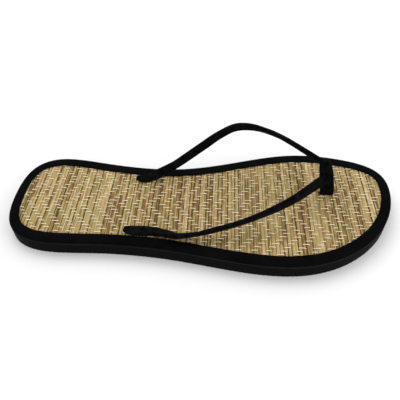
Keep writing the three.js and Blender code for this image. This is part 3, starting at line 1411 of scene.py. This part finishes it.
@dataclass
class ThongStraps:
    """The two straps and the toe post: the frame's solid with a soft skin and an uneven padded surface."""

    node: str = "thong_upper"
    name: str = "napped_straps"
    weld: float = 0.001
    voxel: float = 0.36
    ease: float = 0.5
    ease_rounds: int = 8
    swell: float = 0.16
    swell_size: float = 9.0
    plump: float = 0.28

    def build(self, finish: NapFinish) -> bpy.types.Object:
        """Make the straps and dress them.

        Args:
            finish: looks of the nap.

        Returns:
            The finished straps.
        """
        shell = bmesh.new()
        shell.from_mesh(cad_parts[self.node].data)
        bmesh.ops.remove_doubles(shell, verts=shell.verts, dist=self.weld * MM)
        mesh = bpy.data.meshes.new(self.name)
        shell.to_mesh(mesh)
        shell.free()
        piece = stand(self.name, mesh)
        skin = piece.modifiers.new("soft skin", "REMESH")
        skin.mode = "VOXEL"
        skin.voxel_size = self.voxel * MM
        ease = piece.modifiers.new("ease", "SMOOTH")
        ease.factor = self.ease
        ease.iterations = self.ease_rounds
        freeze(piece)
        self.pad(piece)
        piece.data.shade_smooth()
        piece.data.materials.clear()
        piece.data.materials.append(finish.make())
        settle(piece, Slot.STRAP, self.node)
        return piece

    def pad(self, piece: bpy.types.Object) -> None:
        """Move the skin a little in and out, as soft padding does.

        Args:
            piece: the straps.
        """
        count = len(piece.data.vertices)
        places, facing = np.empty(count * 3), np.empty(count * 3)
        piece.data.vertices.foreach_get("co", places)
        piece.data.vertex_normals.foreach_get("vector", facing)
        grid = places.reshape(-1, 3) / (self.swell_size * MM)
        push = np.array([noise.noise(place) for place in grid.tolist()]) * self.swell + self.plump
        moved = places.reshape(-1, 3) + facing.reshape(-1, 3) * (push * MM)[:, None]
        piece.data.vertices.foreach_set("co", moved.reshape(-1))
        piece.data.update()


# Studio

@dataclass(frozen=True)
class StudioCamera:
    """Camera at the viewing angle of the sandal's picture."""

    name: str = "studio_camera"
    place: Place = (13.6, -209.4, 239.7)
    aim: Place = (-1.4, 12.96, 0.0)
    roll_deg: float = -1.41
    focal_px: float = 446.1
    frame_px: float = 400.0
    sensor: float = 36.0
    nearest: float = 10.0

    def build(self) -> None:
        """Put up the camera and make it the scene's own."""
        lens = bpy.data.cameras.new(self.name)
        lens.sensor_width = self.sensor
        lens.lens = self.focal_px / self.frame_px * self.sensor
        lens.clip_start = self.nearest * MM
        back = (Vector(self.place) - Vector(self.aim)).normalized()
        level = Vector((0.0, 0.0, 1.0)).cross(back).normalized()
        right = Matrix.Rotation(math.radians(self.roll_deg), 3, back) @ level
        pose = Matrix((right, back.cross(right), back)).transposed().to_4x4()
        pose.translation = Vector(self.place) * MM
        camera = stand(self.name, lens)
        camera.matrix_world = pose
        bpy.context.scene.camera = camera


@dataclass(frozen=True)
class SoftLight:
    """A large soft lamp aimed at the sandal, with its power in watts."""

    name: str
    place: Place
    size: float
    power: float

    def build(self) -> None:
        """Hang the lamp."""
        lamp = bpy.data.lights.new(self.name, "AREA")
        lamp.shape = "SQUARE"
        lamp.size = self.size * MM
        lamp.energy = self.power
        light = stand(self.name, lamp)
        light.location = Vector(self.place) * MM
        light.rotation_euler = (-Vector(self.place)).to_track_quat("-Z", "Y").to_euler()


@dataclass(frozen=True)
class Studio:
    """Pale floor, soft lamps and an even white surround."""

    floor_size: float = 14000.0
    floor_drop: float = 0.02
    surround: Colour = (1.0, 1.0, 1.0, 1.0)
    surround_strength: float = 0.76
    lamps: tuple[SoftLight, ...] = (
        SoftLight("key_lamp", (-500.0, 600.0, 1300.0), 1000.0, 6.6),
        SoftLight("fill_lamp", (1100.0, -600.0, 600.0), 800.0, 3.4),
        SoftLight("back_lamp", (700.0, 800.0, 1200.0), 1000.0, 2.0),
    )

    def build(self, finish: FloorFinish) -> None:
        """Lay the floor and light it.

        Args:
            finish: looks of the floor.
        """
        half = self.floor_size / 2
        sides = ((-half, -half), (half, -half), (half, half), (-half, half))
        corners = np.array([(x, y, -self.floor_drop) for x, y in sides])
        floor = new_piece("studio_floor", corners, [range(len(sides))])
        floor.data.materials.append(finish.make())
        for lamp in self.lamps:
            lamp.build()
        world = bpy.data.worlds.new("pale_surround")
        world.use_nodes = True
        backdrop = world.node_tree.nodes["Background"]
        backdrop.inputs["Color"].default_value = self.surround
        backdrop.inputs["Strength"].default_value = self.surround_strength
        bpy.context.scene.world = world
        bpy.context.scene.view_settings.view_transform = "Standard"


def main() -> None:
    """Build the sandal and its studio, and report each piece."""
    logging.basicConfig(level=logging.INFO, format="%(relativeCreated)d %(name)s %(message)s")
    StudioCamera().build()
    outline = SoleOutline()
    plan = WeavePlan(outline)
    pieces = (
        RibbedOutsole(outline).build(FoamFinish()),
        StrawBacking(outline).build(BackingFinish()),
        StrawStrips(plan).build(StrawFinish()),
        CottonThreads(plan).build(CottonFinish()),
        RimBinding(outline).build(ClothFinish()),
        ThongStraps().build(NapFinish()),
    )
    for piece in pieces:
        LOG.info("%s: %d faces", piece.name, len(piece.data.polygons))
    Studio().build(FloorFinish())


if __name__ == "__main__":
    main()
